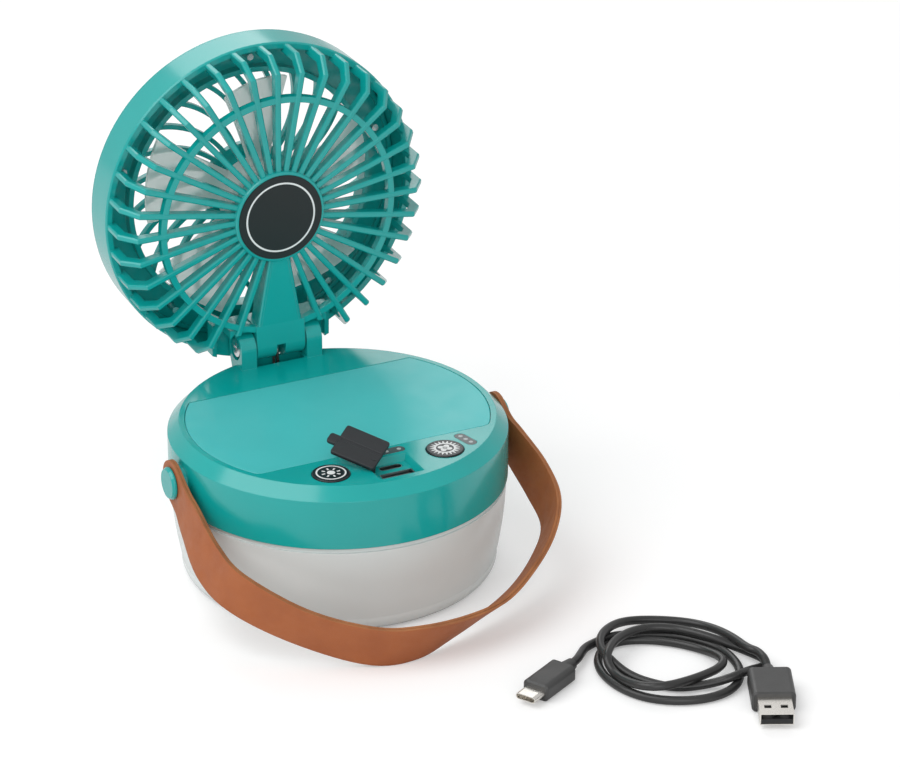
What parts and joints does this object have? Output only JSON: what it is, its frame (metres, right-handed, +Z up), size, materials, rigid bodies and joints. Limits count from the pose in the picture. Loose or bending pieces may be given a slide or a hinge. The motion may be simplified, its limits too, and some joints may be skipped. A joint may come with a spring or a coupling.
{
  "type": "portable camping fan",
  "caption": "Round lantern base with a hinged fan head, push buttons, charging sockets under a rubber flap, a leather carrying strap and a loose charging lead.",
  "frame": {"origin": "middle of the lantern base's flat underside", "axes": "+Z up, controls at -Y, hinge along X at the +Y side; the loose lead lies at -Y and +X"},
  "size_m": [0.1738, 0.2728, 0.1855],
  "materials": {
    "teal_gloss": "gloss",
    "teal_plate": "satin",
    "lamp_white": "frosted satin",
    "tan_leather": "satin",
    "black_rubber": "matte",
    "charcoal": "satin",
    "white_print": "matte",
    "smoked_clear": "gloss",
    "clear_wheel": "gloss",
    "bright_steel": "gloss",
    "screw_steel": "satin",
    "white_nylon": "matte",
    "circuit_board": "satin",
    "cell_wrap": "gloss",
    "solar_blue": "gloss",
    "lamp_yellow": "satin",
    "motor_can": "satin",
    "tray_plastic": "matte",
    "insert_white": "matte"
  },
  "bodies": {
    "base": {"top_cover": "teal_gloss", "top_plate": "teal_plate", "solar_cell": "solar_blue", "lamp_bowl": "lamp_white", "inner_tray": "tray_plastic", "battery": "cell_wrap", "tray_screws": "screw_steel", "lamp_board": "circuit_board", "lamps": "lamp_yellow", "control_board": "circuit_board", "switches": "charcoal", "indicator_lamps": "lamp_yellow", "charge_window": "smoked_clear", "speed_window": "smoked_clear", "usb_a_socket": "bright_steel", "usb_c_socket": "bright_steel", "hinge_screws": "screw_steel", "hinge_washers": "white_nylon", "hinge_wires": "black_rubber", "strap_rivets": "screw_steel", "rivet_caps": "teal_gloss", "usb_c_plug": "charcoal", "usb_c_shell": "bright_steel", "usb_a_plug": "charcoal", "usb_a_shell": "bright_steel", "usb_a_insert": "insert_white", "cable_coil": "black_rubber", "cable_lead_c": "black_rubber", "cable_lead_a": "black_rubber"},
    "light_button": {"light_button": "charcoal"},
    "fan_button": {"fan_button": "charcoal"},
    "flap_pin": {"flap_pin": "black_rubber"},
    "usb_flap": {"usb_flap": "black_rubber"},
    "strap": {"strap": "tan_leather"},
    "head": {"front_grille": "teal_gloss", "badge": "charcoal", "badge_ring": "white_print", "rear_cover": "teal_gloss", "motor": "motor_can", "motor_screws": "screw_steel", "cover_screws": "screw_steel"},
    "fan_wheel": {"fan_wheel": "clear_wheel", "motor_shaft": "screw_steel"}
  },
  "joints": [
    {"name": "head_fold", "type": "hinge", "parent": "base", "child": "head", "pos_m": [0, 0.057, 0.0676], "axis": [1, 0, 0], "range_deg": [0, 88.25]},
    {"name": "wheel_spin", "type": "hinge", "parent": "head", "child": "fan_wheel", "pos_m": [0, 0.04935, 0.12139], "axis": [0, -0.9995, -0.0305], "continuous": true},
    {"name": "strap_swing", "type": "hinge", "parent": "base", "child": "strap", "pos_m": [0, 0, 0.047], "axis": [-1, 0, 0], "range_deg": [0, 130]},
    {"name": "light_press", "type": "slide", "parent": "base", "child": "light_button", "axis": [0, 0, -1], "range_m": [0, 0.0008], "stiffness_N_per_m": 900, "springref_m": -0.0006},
    {"name": "fan_press", "type": "slide", "parent": "base", "child": "fan_button", "axis": [0, 0, -1], "range_m": [0, 0.0008], "stiffness_N_per_m": 900, "springref_m": -0.0006},
    {"name": "flap_lift", "type": "slide", "parent": "base", "child": "flap_pin", "axis": [0.0758, -0.1878, 0.9793], "range_m": [-0.0018, 0]},
    {"name": "flap_turn", "type": "hinge", "parent": "flap_pin", "child": "usb_flap", "pos_m": [-0.0068, -0.045, 0.06072], "axis": [0.0758, -0.1878, 0.9793], "range_deg": [-132.7, 0]}
  ],
  "couplings": [
    {"joint": "flap_lift", "follows": "head_fold", "m_per_rad": -0.001168},
    {"joint": "flap_turn", "follows": "head_fold", "ratio": -1.5036}
  ]
}
